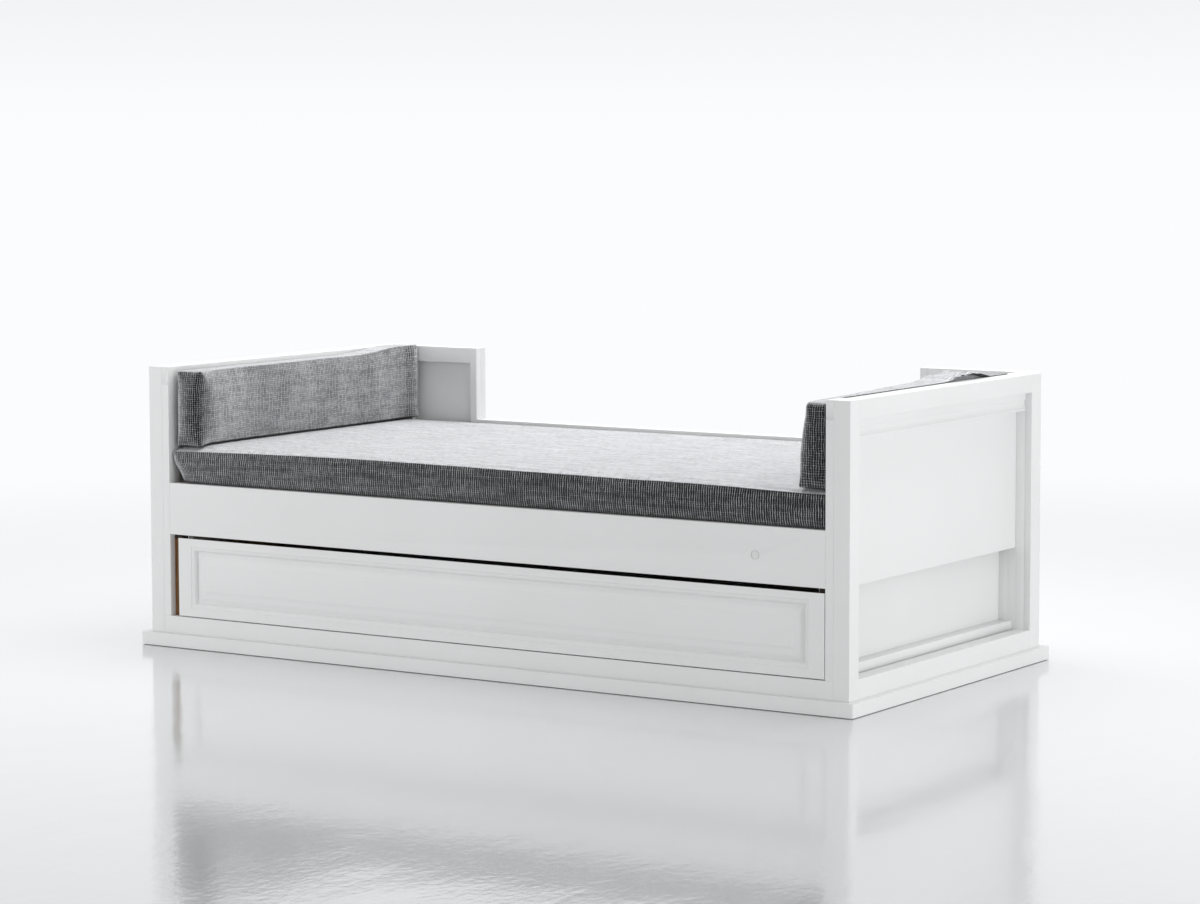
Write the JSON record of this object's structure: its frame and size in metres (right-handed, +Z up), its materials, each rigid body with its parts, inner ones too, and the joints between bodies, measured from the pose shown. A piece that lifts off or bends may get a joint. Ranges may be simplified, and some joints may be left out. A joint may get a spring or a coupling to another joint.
{
  "type": "pull-out bench bed",
  "caption": "Painted wooden daybed with high ends, returns at the back, a loose mattress with side bolsters, and a full-width drawer below that holds a pull-out mattress.",
  "frame": {"origin": "middle of the bed's outer box, on the floor", "axes": "+X along the bed to its right end as seen from the front, +Y to the back, +Z up"},
  "size_m": [2.176, 1.088, 0.75],
  "materials": {
    "painted_wood": "satin white paint",
    "raw_pine": "planed, unfinished",
    "drawer_ply": "clear lacquered plywood",
    "woven_fabric": "flat weave of black and white threads",
    "mattress_ticking": "plain cotton cover",
    "runner_steel": "zinc plated, rolled",
    "zinc_plate": "bright zinc plated",
    "plug_plastic": "fine matt",
    "glide_plastic": "matt"
  },
  "bodies": {
    "bed_frame": {"back_bottom_rail": "painted_wood", "back_panel": "painted_wood", "back_rail": "painted_wood", "bed_slats": "raw_pine", "bracket_screws": "zinc_plate", "corner_brackets": "zinc_plate", "floor_glides": "glide_plastic", "front_bed_rail": "painted_wood", "front_bottom_rail": "painted_wood", "left_back_post": "painted_wood", "left_bottom_rail": "painted_wood", "left_cheek": "painted_wood", "left_end_panel": "painted_wood", "left_frieze_rail": "painted_wood", "left_front_post": "painted_wood", "left_lining_back_stile": "painted_wood", "left_lining_bed_rail": "painted_wood", "left_lining_front_stile": "painted_wood", "left_lining_top_rail": "painted_wood", "left_top_rail": "painted_wood", "left_wing_free_stile": "painted_wood", "left_wing_outer_stile": "painted_wood", "left_wing_panel": "painted_wood", "left_wing_top_rail": "painted_wood", "pine_battens": "raw_pine", "plinth_back": "painted_wood", "plinth_front": "painted_wood", "plinth_left": "painted_wood", "plinth_right": "painted_wood", "rail_plug": "plug_plastic", "right_back_post": "painted_wood", "right_bottom_rail": "painted_wood", "right_cheek": "painted_wood", "right_end_panel": "painted_wood", "right_frieze_rail": "painted_wood", "right_front_post": "painted_wood", "right_lining_back_stile": "painted_wood", "right_lining_bed_rail": "painted_wood", "right_lining_front_stile": "painted_wood", "right_lining_top_rail": "painted_wood", "right_top_rail": "painted_wood", "right_wing_free_stile": "painted_wood", "right_wing_outer_stile": "painted_wood", "right_wing_panel": "painted_wood", "right_wing_top_rail": "painted_wood", "runner_outers": "runner_steel", "sill_battens": "painted_wood", "slat_ledgers": "raw_pine"},
    "drawer": {"drawer_front": "painted_wood", "drawer_left_side": "drawer_ply", "drawer_right_side": "drawer_ply", "drawer_back": "drawer_ply", "drawer_bottom": "drawer_ply", "pull_out_mattress": "mattress_ticking", "runner_inners": "runner_steel"},
    "left_runner": {"left_runner_middle": "runner_steel"},
    "right_runner": {"right_runner_middle": "runner_steel"},
    "mattress": {"mattress": "woven_fabric"},
    "left_bolster": {"left_bolster": "woven_fabric"},
    "right_bolster": {"right_bolster": "woven_fabric"}
  },
  "joints": [
    {"name": "drawer_slide", "type": "slide", "parent": "bed_frame", "child": "drawer", "axis": [0, -1, 0], "range_m": [0, 0.85]},
    {"name": "left_runner_slide", "type": "slide", "parent": "bed_frame", "child": "left_runner", "axis": [0, -1, 0], "range_m": [0, 0.425]},
    {"name": "right_runner_slide", "type": "slide", "parent": "bed_frame", "child": "right_runner", "axis": [0, -1, 0], "range_m": [0, 0.425]},
    {"name": "mattress_lift", "type": "slide", "parent": "bed_frame", "child": "mattress", "axis": [0, 0, 1], "range_m": [0, 0.25]},
    {"name": "left_bolster_lift", "type": "slide", "parent": "mattress", "child": "left_bolster", "axis": [0, 0, 1], "range_m": [0, 0.25]},
    {"name": "right_bolster_lift", "type": "slide", "parent": "mattress", "child": "right_bolster", "axis": [0, 0, 1], "range_m": [0, 0.25]}
  ],
  "couplings": [
    {"joint": "left_runner_slide", "follows": "drawer_slide", "ratio": 0.5},
    {"joint": "right_runner_slide", "follows": "drawer_slide", "ratio": 0.5}
  ]
}
